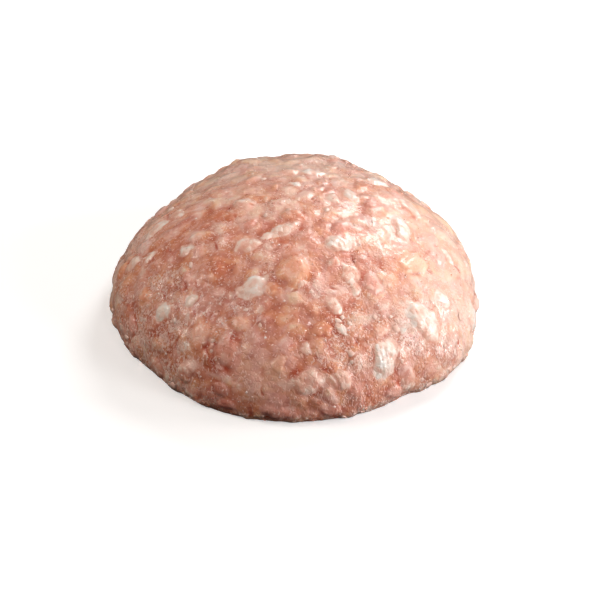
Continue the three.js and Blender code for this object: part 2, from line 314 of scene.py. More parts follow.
def place_on_dome(bearing, rise):
    """Point, outward normal and the level and upward directions of places on the plain dome."""
    turn = np.radians(np.asarray(bearing, float))
    angle = np.radians(np.asarray(rise, float))
    level = np.zeros_like(turn)
    out = np.stack([np.sin(turn), -np.cos(turn), level], axis=-1)
    across = np.stack([np.cos(turn), np.sin(turn), level], axis=-1)
    above = GIRTH_HEIGHT + (HEIGHT - GIRTH_HEIGHT) * np.sin(angle)
    below = GIRTH_HEIGHT * (1.0 - np.sin(angle) / math.sin(math.radians(FOOT_RISE)))
    point = out * (BASE_RADIUS * np.cos(angle))[..., None]
    point[..., 2] = np.where(angle >= 0, above, below)
    lean = np.maximum(angle, 0.0)
    upward = out * (-BASE_RADIUS * np.sin(lean))[..., None]
    upward[..., 2] = (HEIGHT - GIRTH_HEIGHT) * np.cos(lean)
    upward = unit(upward)
    return SimpleNamespace(
        point=point, normal=unit(np.cross(across, upward)), across=across, upward=upward
    )


def direction_on_skin(place, turn):
    angle = np.radians(turn)[..., None]
    return place.across * np.cos(angle) + place.upward * np.sin(angle)


def measure_profile():
    """Rise, length and area from the crown down, in even steps of rise."""
    rise = np.linspace(90.0, FOOT_RISE, PROFILE_STEPS + 1)
    points = place_on_dome(np.full_like(rise, 90.0), rise).point
    radius, height = points[:, 0], points[:, 2]
    run = np.hypot(np.diff(radius), np.diff(height))
    length = np.concatenate([[0.0], np.cumsum(run)])
    area = np.concatenate([[0.0], np.cumsum(run * (radius[1:] + radius[:-1]) / 2.0)])
    return SimpleNamespace(rise=rise, length=length, area=area)


PROFILE = measure_profile()


def rise_at_share(share, measure):
    return np.interp(share * measure[-1], measure, PROFILE.rise)


def spread_places(count, share_purpose, bearing_purpose):
    item = np.arange(count)
    ahead = 0.5 + SPREAD_STRAY * (draw(item, share_purpose) - 0.5)
    aside = BEARING_STRAY * (draw(item, bearing_purpose) - 0.5)
    return item * GOLDEN_ANGLE + aside, rise_at_share((item + ahead) / count, PROFILE.area)


def lattice_value(cells, seed):
    """A fixed value between 0 and 1 for each cell of a grid."""
    mixed = cells[:, 0] * 73856093 ^ cells[:, 1] * 19349663 ^ cells[:, 2] * 83492791
    mixed = (mixed ^ seed * 2654435761) & 0x7FFFFFFF
    mixed = (mixed ^ mixed >> 15) * 2246822519 & 0x7FFFFFFF
    mixed = (mixed ^ mixed >> 13) * 3266489917 & 0x7FFFFFFF
    return ((mixed ^ mixed >> 16) & 0xFFFFF) / 0xFFFFF


def noise(points, cell, seed):
    """Smooth noise between -1 and 1, its lumps about one cell across."""
    scaled = points / cell
    base = np.floor(scaled).astype(np.int64)
    part = scaled - base
    part = part * part * (3.0 - 2.0 * part)
    total = np.zeros(len(points))
    for corner in itertools.product((0, 1), repeat=3):
        weight = np.prod(np.where(corner, part, 1.0 - part), axis=1)
        total += weight * lattice_value(base + corner, seed)
    return 2.0 * total - 1.0


def smooth_step(low, high, value):
    share = np.clip((value - low) / (high - low), 0.0, 1.0)
    return share * share * (3.0 - 2.0 * share)


def layered_noise(points, layers):
    return sum(strength * noise(points, cell, seed) for cell, strength, seed in layers)


def patches(points, kind):
    """1 inside patches, 0 outside them, and between the two on their edges."""
    cell, seed, limits = kind
    return smooth_step(*limits, noise(points, cell, seed))


# The mass of mince

# Each generation of flakes: count, half length, slimness, height, share that falls off, first draw
COARSE = SimpleNamespace(
    count=430, reach=(3.8, 7.2), slimness=(0.5, 0.9), height=(0.3, 1.1), edge=0.6, draws=1
)
MIDDLE = SimpleNamespace(
    count=1900, reach=(1.8, 4.2), slimness=(0.35, 0.8), height=(0.02, 0.18), edge=0.4, draws=50
)
FINE = SimpleNamespace(
    count=8000, reach=(0.8, 2.0), slimness=(0.3, 0.8), height=(0.02, 0.12), edge=0.3, draws=60
)
# What tears the outlines of flakes and of scraps: cell, strength and seed
FLAKE_WARPS = ((7.0, 1.4, 11), (2.5, 0.45, 21))
SCRAP_WARPS = ((4.5, 1.0, 61), (1.8, 0.6, 65), (0.9, 0.25, 69))

FLAKE_SIDES = 6
SIDE_TURNS = 2.0 * math.pi * np.arange(FLAKE_SIDES) / FLAKE_SIDES
SIDE_DISTANCE = (0.6, 1.0)
FLAKE_TILT = 0.5  # how much higher the raised side of a flake stands than its middle
SEARCH_REACH = 1.1  # how far round a flake its points are looked for, by its own reach


def make_flakes(kind):
    bearing, rise = spread_places(kind.count, kind.draws, kind.draws + 1)
    place = place_on_dome(bearing, rise)
    item = np.arange(kind.count)
    side = item[:, None] * FLAKE_SIDES + np.arange(FLAKE_SIDES)
    turn = 180.0 * draw(item, kind.draws + 4)
    reach = draw_in(kind.reach, item, kind.draws + 2)
    return SimpleNamespace(
        point=place.point,
        along=direction_on_skin(place, turn),
        aside=direction_on_skin(place, turn + 90.0),
        reach=reach,
        breadth=reach * draw_in(kind.slimness, item, kind.draws + 3),
        height=draw_in(kind.height, item, kind.draws + 5),
        raised=2.0 * math.pi * draw(item, kind.draws + 6),
        sides=draw_in(SIDE_DISTANCE, side, kind.draws + 7),
        edge=kind.edge,
    )


def tear(points, warps):
    """The points moved about a little, so that what is round on them comes out ragged."""
    moved = points.copy()
    for cell, strength, seed in warps:
        for axis in range(3):
            moved[:, axis] += strength * noise(points, cell, seed + axis)
    return moved


def plant(points):
    tree = KDTree(len(points))
    for index, point in enumerate(points):
        tree.insert(point, index)
    tree.balance()
    return tree


def found_near(tree, point, reach):
    return np.array([found[1] for found in tree.find_range(point, reach)], int)


def cover(points, tree, flakes):
    """The highest flake over each point: its height, its number or -1, and how high up on it."""
    height = np.zeros(len(points))
    owner = np.full(len(points), -1)
    raised = np.zeros(len(points))
    for number, centre in enumerate(flakes.point):
        near = found_near(tree, centre, SEARCH_REACH * flakes.reach[number])
        if not len(near):
            continue
        away = points[near] - centre
        along = away @ flakes.along[number] / flakes.reach[number]
        aside = away @ flakes.aside[number] / flakes.breadth[number]
        past = np.outer(along, np.cos(SIDE_TURNS)) + np.outer(aside, np.sin(SIDE_TURNS))
        share = (past / flakes.sides[number]).max(axis=1)
        tilt = along * math.cos(flakes.raised[number]) + aside * math.sin(flakes.raised[number])
        lift = smooth_step(1.0, 1.0 - flakes.edge, share) * (1.0 + FLAKE_TILT * tilt)
        top = flakes.height[number] * lift
        higher = top > height[near]
        height[near[higher]] = top[higher]
        owner[near[higher]] = number
        raised[near[higher]] = lift[higher]
    return height, owner, raised


def bumps_at(points, bumps):
    """The sum, over each point, of soft round bumps set by bearing, rise, half width and height."""
    middle = np.array([0.0, 0.0, GIRTH_HEIGHT])
    direction = unit(points - middle)
    total = np.zeros(len(points))
    for bearing, rise, spread, height in bumps:
        towards = unit(place_on_dome(bearing, rise).point - middle)
        angle = np.degrees(np.arccos(np.clip(direction @ towards, -1.0, 1.0)))
        total += height * np.exp(-((angle / spread) ** 2))
    return total


def ring_sheet(rings):
    """A sheet of rings, ring k with 6k corners: shares of the way out, bearings, faces and foot."""
    numbers = np.arange(1, rings + 1)
    ring = np.concatenate([[0], np.repeat(numbers, SECTORS * numbers)])
    start = np.concatenate([[0], 1 + SECTORS * np.cumsum(np.arange(rings + 1))])
    step = np.arange(len(ring)) - start[ring]
    bearing = 360.0 * step / np.maximum(SECTORS * ring, 1)

    def corner_of(ring_number, sector, along):
        count = SECTORS * ring_number
        return start[ring_number] + (sector * ring_number + along) % max(count, 1)

    faces = []
    for inner in range(rings):
        for sector in range(SECTORS):
            along = np.arange(inner + 1)
            first = np.broadcast_to(corner_of(inner, sector, along), along.shape)
            outer = corner_of(inner + 1, sector, along)
            outer_next = corner_of(inner + 1, sector, along + 1)
            faces.append(np.stack([first, outer, outer_next], axis=1))
            if inner:
                following = corner_of(inner, sector, along[:-1] + 1)
                faces.append(np.stack([first[:-1], outer_next[:-1], following], axis=1))
    return SimpleNamespace(
        share=ring / rings,
        bearing=bearing,
        faces=np.concatenate(faces),
        foot=np.arange(start[rings], start[rings + 1]),
    )


def average_over(edges, values, rounds):
    """The values softened over the mesh by taking neighbours' averages."""
    count = len(values)
    ends = np.concatenate([edges[:, 0], edges[:, 1]])
    others = np.concatenate([edges[:, 1], edges[:, 0]])
    neighbours = np.bincount(ends, minlength=count)
    for _ in range(rounds):
        around = np.bincount(ends, weights=values[others], minlength=count) / neighbours
        values = (1.0 - NEIGHBOURS_SHARE) * values + NEIGHBOURS_SHARE * around
    return values


def edges_of(faces):
    pairs = np.concatenate([faces[:, [0, 1]], faces[:, [1, 2]], faces[:, [2, 0]]])
    return np.unique(np.sort(pairs, axis=1), axis=0)


def outlines_of(edges, owner):
    """1 on the points where one flake gives way to another, 0 elsewhere."""
    marks = np.zeros(len(owner))
    marks[edges[owner[edges[:, 0]] != owner[edges[:, 1]]]] = 1.0
    return marks


def owners_draw(owner, purpose):
    return np.where(owner < 0, 0.5, draw(owner, purpose))


def fat_among(owner, kind):
    purpose, lean_share, whiteness = kind
    return whiteness * (owners_draw(owner, purpose) > lean_share)


def make_mesh(name, points, faces, values):
    """A piece from points in millimetres about the dome's axis, with named values on its points."""
    mesh = bpy.data.meshes.new(name)
    placed = (points + np.array([*AXIS_OFFSET, 0.0])) * MM
    mesh.from_pydata(placed.tolist(), [], faces.tolist())
    mesh.polygons.foreach_set("use_smooth", np.ones(len(mesh.polygons), bool))
    for value_name, value in values.items():
        layer = mesh.attributes.new(value_name, "FLOAT", "POINT")
        layer.data.foreach_set("value", np.ascontiguousarray(value, np.float32))
    mesh.update()
    piece = bpy.data.objects.new(name, mesh)
    bpy.context.scene.collection.objects.link(piece)
    return piece


def dress(piece, material):
    piece.data.materials.append(material)
    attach(piece, BODY)


def raise_ribs(scrap, points, along, aside):
    """The height of the ribs that the whitest fat is folded into. They fan out along the scrap."""
    fan = 1.0 + RIB_FAN * along / scrap.length
    ribs = np.sin(RIB_TURN * aside * fan + layered_noise(points, RIB_NOISE))
    return RIB_HEIGHT * smooth_step(*RIBBED, scrap.quality) * ribs


def form_scraps(scraps, points, relief, values):
    """Forms each scrap on the skin: levels the relief there, raises it, and lays its colour in."""
    points = tear(points, SCRAP_WARPS)
    tree = plant(points)
    patchy = layered_noise(points, PATCH_NOISE)
    lift = np.zeros(len(points))
    for scrap in scraps:
        near = found_near(tree, scrap.point, scrap.length)
        away = points[near] - scrap.point
        along, aside = away @ scrap.along, away @ scrap.aside
        share = share_in(scrap, along, aside)
        level = relief[near][share < 1.0].mean()
        relief[near] += PRESSING * smooth_step(*PRESSED, share) * (level - relief[near])
        raised = SCRAP_LIFT + SCRAP_LIFT_BY_WIDTH * scrap.width
        heading = 2.0 * math.pi * draw(scrap.item, BURIED_DRAW)
        buried = (along * math.cos(heading) + aside * math.sin(heading)) / scrap.length
        buried = np.maximum(buried, 0.0)
        run = smooth_step(*COLOUR_RUN, share + BURIED_RUN * buried + PATCHY_RUN * patchy[near])
        if scrap.is_fat:
            raised = raised + raise_ribs(scrap, points[near], along, aside) + PATCHY_LIFT * patchy[near]
            fat = FAT_WHITENESS + FAT_BY_QUALITY * scrap.quality
            fat = run * (fat + FAT_BY_PATCH * patchy[near] + FAT_BY_BURIAL * buried)
            values["fat"][near] = np.maximum(values["fat"][near], fat)
        else:
            values["blush"][near] += LEAN_BLUSH * run * (scrap.quality - values["blush"][near])
            values["tone"][near] += LEAN_TONE * run * (LEAN_TONE_AIM - values["tone"][near])
        lift[near] = np.maximum(lift[near], raised * smooth_step(*SCRAP_EDGE, share))
        values["fibrous"][near] *= 1.0 - SMOOTHING * run
    relief += lift


def form_creases(points, relief, values):
    """Sinks the creases into the skin and marks them to be darkened with painted shade."""
    points = tear(points, SCRAP_WARPS)
    tree = plant(points)
    for bearing, rise, length, width, turn in CREASES:
        place = place_on_dome(bearing, rise)
        along = direction_on_skin(place, np.array(float(turn)))
        near = found_near(tree, place.point, length)
        away = 2.0 * (points[near] - place.point)
        share = np.hypot(away @ along / length, away @ np.cross(place.normal, along) / width)
        sunk = smooth_step(*CREASE_EDGE, share)
        relief[near] -= CREASE_DEPTH * sunk
        values["crevice"][near] = np.maximum(values["crevice"][near], sunk)


def make_skin(scraps):
    """The torn skin of the mound, with the values that its finish reads."""
    sheet = ring_sheet(SKIN_RINGS)
    rise = rise_at_share(sheet.share, PROFILE.length)
    place = place_on_dome(sheet.bearing, rise)
    torn = tear(place.point, FLAKE_WARPS)
    torn_tree = plant(torn)
    fibrous = FIBROUS_BASE + layered_noise(place.point, FIBROUS_NOISE)
    fibrous = smooth_step(*FIBROUS_RANGE, fibrous + bumps_at(place.point, SPECKLED))

    edges = edges_of(sheet.faces)
    coarse, coarse_owner, coarse_raised = cover(torn, torn_tree, make_flakes(COARSE))
    middle, middle_owner, middle_raised = cover(torn, torn_tree, make_flakes(MIDDLE))
    fine, fine_owner, _ = cover(torn, torn_tree, make_flakes(FINE))
    owners = (coarse_owner, middle_owner, fine_owner)
    curls = smooth_step(CURL_WIDTH, 0.0, np.abs(noise(torn, CURL_CELL, CURL_SEED)))
    curls = curls * patches(torn, CURL_PATCHES)
    fine = fine * (FINE_HEIGHT + FINE_BY_FIBRE * fibrous)
    fine = fine + layered_noise(torn, GRAIN_NOISE) * fibrous + CURL_HEIGHT * curls
    relief = average_over(edges, coarse, COARSE_ROUNDS) + middle + fine

    def value_of(purpose, shares):
        total = sum(share * owners_draw(owner, purpose) for share, owner in zip(shares, owners))
        return average_over(edges, total, 1)

    film = layered_noise(torn, FILM_NOISE) + FILM_BY_FIBRE * fibrous
    fat = fat_among(middle_owner, MIDDLE_FAT) + fat_among(fine_owner, FINE_FAT)
    fat = average_over(edges, np.maximum(fat, fat_among(coarse_owner, COARSE_FAT)), FAT_ROUNDS)
    smeared = bumps_at(place.point, SMEARED) * patches(torn, SMEAR_PATCHES)
    # Flake outlines, lightened in the flesh's colour as a painted highlight on thin edges
    edge_highlight = np.maximum(outlines_of(edges, coarse_owner), MIDDLE_EDGE_HIGHLIGHT * outlines_of(edges, middle_owner))
    # Painted light and shade: the tone is lighter where a flake stands high and darker where it sinks
    raised = coarse_raised + middle_raised - USUAL_HEIGHT
    values = {
        "tone": value_of(TONE_DRAW, TONE_SHARES) + PAINTED_LIGHT_BY_HEIGHT * raised,
        "blush": value_of(BLUSH_DRAW, BLUSH_SHARES),
        "fat": np.maximum(fat, smeared),
        "fibrous": fibrous,
        # Paler or deeper flesh: partly its own colour, partly painted light and shade
        "pale": bumps_at(place.point, PALE_AND_PAINTED_LIGHT) + layered_noise(torn, PALE_NOISE),
        "film": smooth_step(*FILM_RANGE, film),
        "edge_highlight": edge_highlight * patches(torn, EDGE_HIGHLIGHT_PATCHES),
    }
    form_scraps(scraps, place.point, relief, values)
    softened = average_over(edges, relief, 1)
    relief = (1.0 - RELIEF_SOFTENING) * relief + RELIEF_SOFTENING * softened
    # Painted shade: the flesh is darkened toward deep red where the relief lies below its surroundings
    sunk = smooth_step(*CREVICE_RANGE, average_over(edges, relief, SURROUNDING_ROUNDS) - relief)
    values["crevice"] = sunk * patches(place.point, CREVICE_PATCHES)

    form_creases(place.point, relief, values)
    height = bumps_at(place.point, SWELLS) + relief + SKIN_LEVEL
    points = place.point + place.normal * height[:, None]
    points[:, 2] = np.maximum(points[:, 2], 0.0)
    points[sheet.foot, 2] = 0.0
    return SimpleNamespace(points=points, faces=sheet.faces, foot=sheet.foot, values=values)


def close_underside(faces, foot, middle):
    """Faces that close a sheet from its outermost ring to a point under its middle."""
    fan = np.stack([np.full(len(foot), middle), np.roll(foot, -1), foot], axis=1)
    return np.concatenate([faces, fan])


# Scraps of fat and lean meat


def scrap_form(directions, item):
    """How far a torn scrap reaches in each direction: a ball cut down by soft-edged flats."""
    flat = np.arange(SCRAP_FLATS)
    level = 1.0 - 2.0 * (flat + 0.5) / SCRAP_FLATS
    turn = np.radians(flat * GOLDEN_ANGLE + 360.0 * draw(item, 20))
    side = np.sqrt(1.0 - level * level)
    facing = np.stack([side * np.cos(turn), side * np.sin(turn), level], axis=1)
    distance = draw_in(FLAT_DISTANCE, item * SCRAP_FLATS + flat, 21)
    cosine = np.maximum(directions @ facing.T, 1e-3)
    reach = np.power(cosine / distance, FLAT_SHARPNESS).sum(axis=1) + ROUND_REACH ** -FLAT_SHARPNESS
    return np.power(reach, -1.0 / FLAT_SHARPNESS)


def share_in(scrap, along, aside):
    """How far out places lie in a scrap: 0 at its middle, 1 on its outline."""
    along, aside = 2.0 * along / scrap.length, 2.0 * aside / scrap.width
    away = np.maximum(np.hypot(along, aside), 1e-6)
    directions = np.stack([along / away, aside / away, np.zeros_like(away)], axis=-1)
    return away / (OUTLINE_REACH * scrap_form(directions, scrap.item))


def new_scrap(item, bearing, rise, length, width, turn, quality, is_fat):
    place = place_on_dome(bearing, rise)
    along = direction_on_skin(place, np.array(float(turn)))
    return SimpleNamespace(
        item=item,
        point=place.point,
        normal=place.normal,
        along=along,
        aside=np.cross(place.normal, along),
        length=length,
        width=width,
        quality=quality,
        is_fat=is_fat,
    )


def all_scraps():
    """The named scraps, then those spread by rule that lie clear of the ones before them."""
    rows = [(*row, True) for row in FAT_SCRAPS] + [(*row, False) for row in LEAN_LUMPS]
    scraps = [new_scrap(item, *row) for item, row in enumerate(rows)]
    bearings, rises = spread_places(SPREAD_COUNT, 30, 31)
    for item in range(SPREAD_COUNT):
        length = draw_in(SPREAD_LENGTH, item, 32)
        scrap = new_scrap(
            len(scraps),
            bearings[item],
            rises[item],
            length,
            length * draw_in(SPREAD_SLIMNESS, item, 33),
            180.0 * draw(item, 34),
            SPREAD_QUALITY * draw(item, 36),
            draw(item, 35) < SPREAD_FAT_SHARE,
        )
        if all(
            np.linalg.norm(other.point - scrap.point) > CLEAR_ROOM * (other.length + length) / 2.0
            for other in scraps
        ):
            scraps.append(scrap)
    return scraps


# Small bits that stand out of the skin. Each kind: piece, count, radius, stretch, how far it is
# flattened to the skin, how ragged it is, the share of its radius that it is sunk by, and how
# finely it is divided
GRANULES = SimpleNamespace(
    name="granules",
    count=1600,
    radius=(0.2, 0.55),
    stretch=(0.55, 1.35),
    flat=0.0,
    ragged=0.4,
    sunk=0.55,
    detail=1,
)
FAT_CRUMBS = SimpleNamespace(
    name="fat_crumbs",
    count=130,
    radius=(0.7, 1.5),
    stretch=(0.5, 1.4),
    flat=0.5,
    ragged=0.4,
    sunk=0.3,
    detail=2,
)
LEAN_SCRAPS = SimpleNamespace(
    name="lean_scraps",
    count=150,
    radius=(0.8, 1.8),
    stretch=(0.5, 1.5),
    flat=0.6,
    ragged=0.5,
    sunk=0.3,
    detail=2,
)
JUICE_BEADS = SimpleNamespace(
    name="juice_beads",
    count=700,
    radius=(0.2, 0.6),
    stretch=(0.8, 1.3),
    flat=0.4,
    ragged=0.0,
    sunk=0.25,
    detail=2,
)
FOOT_BAND = 3.0  # how high up the foot's scraps and juice reach
LEAST_HEIGHT = 0.02  # of the bits' undersides above the floor

# How many granules, crumbs of fat and beads lie where the skin gives them no reason to
PLAIN_GRANULES = 0.12
PLAIN_CRUMBS = 0.3
PLAIN_BEADS = 0.05
CREVICE_BEADS = 0.3  # and how many more beads lie in a crevice


def normals_of(points, faces):
    """Outward directions of the points and areas of the faces."""
    first, second, third = (points[faces[:, corner]] for corner in range(3))
    across = np.cross(second - first, third - first)
    total = np.zeros_like(points)
    for corner in range(3):
        np.add.at(total, faces[:, corner], across)
    return unit(total), np.linalg.norm(across, axis=1) / 2.0


def sample_skin(skin, count, weight, chance):
    """Places drawn over the skin, more of them where the weight is high."""
    normals, areas = normals_of(skin.points, skin.faces)
    odds = areas * weight[skin.faces].mean(axis=1)
    face = skin.faces[chance.choice(len(areas), count, p=odds / odds.sum())]
    share = chance.dirichlet((1.0, 1.0, 1.0), count)[:, :, None]
    point = (skin.points[face] * share).sum(axis=1)
    return point, unit((normals[face] * share).sum(axis=1))


def ball(detail):
    """Unit directions and faces of a ball of small triangles."""
    grid = bmesh.new()
    bmesh.ops.create_icosphere(grid, subdivisions=detail, radius=1.0)
    directions = np.array([vertex.co[:] for vertex in grid.verts])
    faces = np.array([[vertex.index for vertex in face.verts] for face in grid.faces])
    grid.free()
    return unit(directions), faces


def make_bits(skin, kind, weight, chance):
    """Small bits scattered over the skin, more of them where the weight is high."""
    point, normal = sample_skin(skin, kind.count, weight, chance)
    directions, faces = ball(kind.detail)
    radius = chance.uniform(*kind.radius, (kind.count, 1, 1))
    stretch = chance.uniform(*kind.stretch, (kind.count, 1, 3))
    ragged = 1.0 + kind.ragged * chance.uniform(-0.5, 0.5, (kind.count, len(directions), 1))
    form = directions[None] * stretch * ragged * radius
    outward = normal[:, None]
    form -= kind.flat * outward * (form * outward).sum(axis=2, keepdims=True)
    points = point[:, None] + form - outward * radius * kind.sunk
    points[..., 2] = np.maximum(points[..., 2], LEAST_HEIGHT)
    first_corner = len(directions) * np.arange(kind.count)[:, None, None]
    faces = (faces[None] + first_corner).reshape(-1, 3)
    quality = np.repeat(chance.uniform(0.0, 1.0, kind.count), len(directions))
    return points.reshape(-1, 3), faces, {"quality": quality}


# Finishes


TISSUE_IOR = 1.4
FILM_IOR = 1.36
FILM_ROUGHNESS = 0.08
JUICE_IOR = 1.34


def paint(red, green, blue):
    """A colour given as it looks on a screen, from 0 to 255, as Blender's scene-linear colour."""
    linear = [((value / 255.0 + 0.055) / 1.055) ** 2.4 for value in (red, green, blue)]
    return (*linear, 1.0)


def connect(tree, source, target):
    tree.links.new(source, target)


def add_node(tree, kind, **settings):
    node = tree.nodes.new(kind)
    for name, value in settings.items():
        setattr(node, name, value)
    return node


def add_value(tree, name):
    return add_node(tree, "ShaderNodeAttribute", attribute_name=name).outputs["Fac"]


def fill(tree, socket, value):
    """Gives a socket a fixed value, or what another socket puts out."""
    if isinstance(value, bpy.types.NodeSocket):
        connect(tree, value, socket)
    else:
        socket.default_value = value


def add_maths(tree, operation, first, second, clamp=False):
    node = add_node(tree, "ShaderNodeMath", operation=operation, use_clamp=clamp)
    for socket, value in zip(node.inputs, (first, second)):
        fill(tree, socket, value)
    return node.outputs[0]


def add_weighted(tree, total, *terms):
    """The total plus each further value times its weight."""
    for value, weight in terms:
        total = add_maths(tree, "ADD", total, add_maths(tree, "MULTIPLY", value, weight))
    return total


def add_mix(tree, share, first, second):
    node = add_node(tree, "ShaderNodeMix", data_type="RGBA")
    share_socket, first_socket, second_socket = node.inputs[0], node.inputs[6], node.inputs[7]
    for socket, value in ((share_socket, share), (first_socket, first), (second_socket, second)):
        fill(tree, socket, value)
    return node.outputs[2]


def add_ramp(tree, value, stops):
    node = add_node(tree, "ShaderNodeValToRGB")
    node.color_ramp.interpolation = "EASE"
    while len(node.color_ramp.elements) < len(stops):
        node.color_ramp.elements.new(0.5)
    for element, (position, colour) in zip(node.color_ramp.elements, stops):
        element.position = position
        element.color = paint(*colour)
    connect(tree, value, node.inputs[0])
    return node.outputs[0]


def new_group(name, inputs, outputs):
    group = bpy.data.node_groups.new(name, "ShaderNodeTree")
    for socket_name, default in inputs.items():
        socket = group.interface.new_socket(socket_name, in_out="INPUT", socket_type="NodeSocketFloat")
        socket.default_value = default
    for socket_name in outputs:
        group.interface.new_socket(socket_name, in_out="OUTPUT", socket_type="NodeSocketFloat")
    return group, add_node(group, "NodeGroupInput"), add_node(group, "NodeGroupOutput")


# Fine tissue: each noise's scale as a share of the threads' own
MOTTLE_SCALE = 0.5
BREAK_SCALE = 2.6
CLUSTER_SCALE = 0.3
SPECK_SCALE = 2.2
DRAWN_OUT = (1.0, 1.0, 0.5)  # the tissue is drawn out upwards
THREAD_BREAK = 0.58  # the noise above which a thread shows, where there are no specks
BREAK_BY_SPECKS = 0.16
BREAK_SHARPNESS = 8.0
CLUSTER_SHARE = 0.6
CLUSTER_BY_SPECKS = 0.22
SPECK_LEVEL = 1.03
SPECK_SHARPNESS = 12.0


def make_tissue_group():
    """Fine wet tissue: curled threads, clustered specks, a soft mottle, and the height of them. The
    flesh paints the threads and specks into its colour as glints, a painted highlight.
    """
    group, taken, given = new_group(
        "fine_tissue",
        {"Threads per metre": 520.0, "Thread width": 0.08, "Speck share": 0.5},
        ("Threads", "Specks", "Mottle", "Height"),
    )
    density = taken.outputs["Threads per metre"]
    speck_share = taken.outputs["Speck share"]
    drawn_out = add_node(group, "ShaderNodeVectorMath", operation="MULTIPLY")
    drawn_out.inputs[1].default_value = DRAWN_OUT
    connect(group, add_node(group, "ShaderNodeTexCoord").outputs["Object"], drawn_out.inputs[0])

    def combine(operation, first, second, clamp=False):
        return add_maths(group, operation, first, second, clamp)

    def noise_at(scale_share, detail=0.0, distortion=0.0):
        field = add_node(group, "ShaderNodeTexNoise")
        field.inputs["Detail"].default_value = detail
        field.inputs["Distortion"].default_value = distortion
        connect(group, drawn_out.outputs[0], field.inputs["Vector"])
        connect(group, combine("MULTIPLY", density, scale_share), field.inputs["Scale"])
        return field.outputs["Fac"]

    mottle = noise_at(MOTTLE_SCALE, detail=3.0)
    swing = combine("ABSOLUTE", combine("SUBTRACT", noise_at(1.0, distortion=0.4), 0.5), 0.0)
    swing = combine("DIVIDE", swing, taken.outputs["Thread width"])
    ridge = combine("SUBTRACT", 1.0, swing, clamp=True)
    unbroken = combine("SUBTRACT", THREAD_BREAK, combine("MULTIPLY", speck_share, BREAK_BY_SPECKS))
    shown = combine("SUBTRACT", noise_at(BREAK_SCALE), unbroken)
    threads = combine("MULTIPLY", ridge, combine("MULTIPLY", shown, BREAK_SHARPNESS, clamp=True))
    clusters = combine("MULTIPLY", noise_at(CLUSTER_SCALE, detail=2.0, distortion=0.6), CLUSTER_SHARE)
    clusters = combine("ADD", clusters, combine("MULTIPLY", speck_share, CLUSTER_BY_SPECKS))
    specks = combine("ADD", noise_at(SPECK_SCALE, detail=1.0, distortion=0.8), clusters)
    specks = combine("SUBTRACT", specks, SPECK_LEVEL)
    specks = combine("MULTIPLY", specks, SPECK_SHARPNESS, clamp=True)
    height = combine("ADD", combine("MAXIMUM", threads, specks), mottle)
    outputs = {"Threads": threads, "Specks": specks, "Mottle": mottle, "Height": height}
    for name, value in outputs.items():
        connect(group, value, given.inputs[name])
    return group


# Torn bits: the scale of what bends them, how steeply they rise, and how high the lowest stands
WANDER_SCALE = 0.8
BIT_STEEPNESS = 5.0
LOWEST_BIT = 0.3


def make_bits_group():
    """Small torn bits side by side: a draw for each bit, and their height."""
    group, taken, given = new_group(
        "torn_bits", {"Bits per metre": 400.0, "Wander": 0.0012}, ("Draw", "Height")
    )
    place = add_node(group, "ShaderNodeTexCoord").outputs["Object"]
    wander = add_node(group, "ShaderNodeTexNoise")
    wander.inputs["Detail"].default_value = 2.0
    connect(group, place, wander.inputs["Vector"])
    density = taken.outputs["Bits per metre"]
    connect(group, add_maths(group, "MULTIPLY", density, WANDER_SCALE), wander.inputs["Scale"])
    stray = add_node(group, "ShaderNodeVectorMath", operation="SCALE")
    connect(group, wander.outputs["Color"], stray.inputs[0])
    connect(group, taken.outputs["Wander"], stray.inputs["Scale"])
    moved = add_node(group, "ShaderNodeVectorMath", operation="ADD")
    connect(group, place, moved.inputs[0])
    connect(group, stray.outputs[0], moved.inputs[1])

    def cells(feature):
        field = add_node(group, "ShaderNodeTexVoronoi", feature=feature)
        connect(group, moved.outputs[0], field.inputs["Vector"])
        connect(group, density, field.inputs["Scale"])
        return field

    parts = add_node(group, "ShaderNodeSeparateColor")
    connect(group, cells("F1").outputs["Color"], parts.inputs[0])
    edge = cells("DISTANCE_TO_EDGE").outputs["Distance"]
    rise = add_maths(group, "MULTIPLY", edge, BIT_STEEPNESS, clamp=True)
    height = add_maths(group, "MULTIPLY", rise, add_maths(group, "ADD", parts.outputs[1], LOWEST_BIT))
    connect(group, parts.outputs[0], given.inputs["Draw"])
    connect(group, height, given.inputs["Height"])
    return group


def new_material(name):
    material = bpy.data.materials.new(name)
    material.use_nodes = True
    return material, material.node_tree, material.node_tree.nodes["Principled BSDF"]


def place_group(tree, group, values):
    node = add_node(tree, "ShaderNodeGroup", node_tree=group)
    for name, value in values.items():
        node.inputs[name].default_value = value
    return node


def set_wet(shader, roughness, coat, scatter, scatter_scale, weight):
    shader.inputs["Roughness"].default_value = roughness
    shader.inputs["IOR"].default_value = TISSUE_IOR
    shader.inputs["Coat Weight"].default_value = coat
    shader.inputs["Coat Roughness"].default_value = FILM_ROUGHNESS
    shader.inputs["Coat IOR"].default_value = FILM_IOR
    shader.inputs["Subsurface Weight"].default_value = weight
    shader.inputs["Subsurface Radius"].default_value = scatter
    shader.inputs["Subsurface Scale"].default_value = scatter_scale


def add_bump(tree, shader, height, strength, distance):
    bump = add_node(tree, "ShaderNodeBump")
    bump.inputs["Strength"].default_value = strength
    bump.inputs["Distance"].default_value = distance
    connect(tree, height, bump.inputs["Height"])
    connect(tree, bump.outputs["Normal"], shader.inputs["Normal"])


